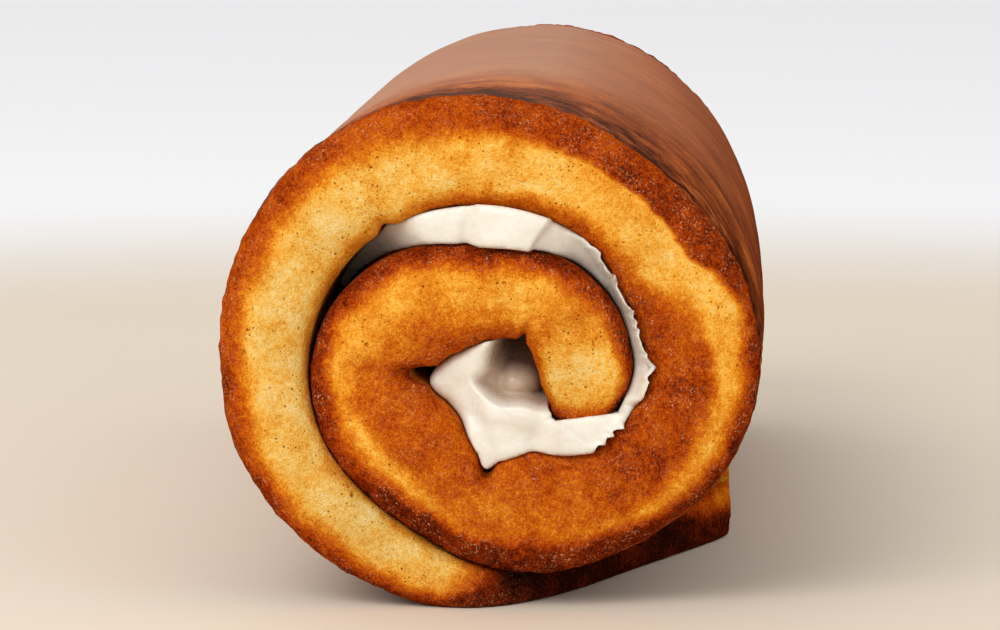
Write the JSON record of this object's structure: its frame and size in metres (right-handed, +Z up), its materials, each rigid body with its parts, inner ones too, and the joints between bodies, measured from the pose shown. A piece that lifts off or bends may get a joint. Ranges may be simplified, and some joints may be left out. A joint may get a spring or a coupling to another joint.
{
  "type": "swiss roll cake",
  "caption": "Swiss roll: a baked sponge sheet rolled into a log round a spiral layer of white cream, lying on its loose end.",
  "frame": {"origin": "middle of the roll's footprint, on the surface that it rests on", "axes": "+Z up; Y along the roll, with the front end, where the spiral and its hollow core show best, towards -Y; +X to the right seen from the front, the side where the loose end lies"},
  "size_m": [0.0845, 0.23, 0.0785],
  "materials": {
    "sponge": "baked sponge: golden open crumb with a brown, slightly wrinkled skin",
    "cream": "whipped white cream, smooth and slightly moist"
  },
  "bodies": {
    "root": {"sponge": "sponge", "cream": "cream"}
  },
  "joints": []
}
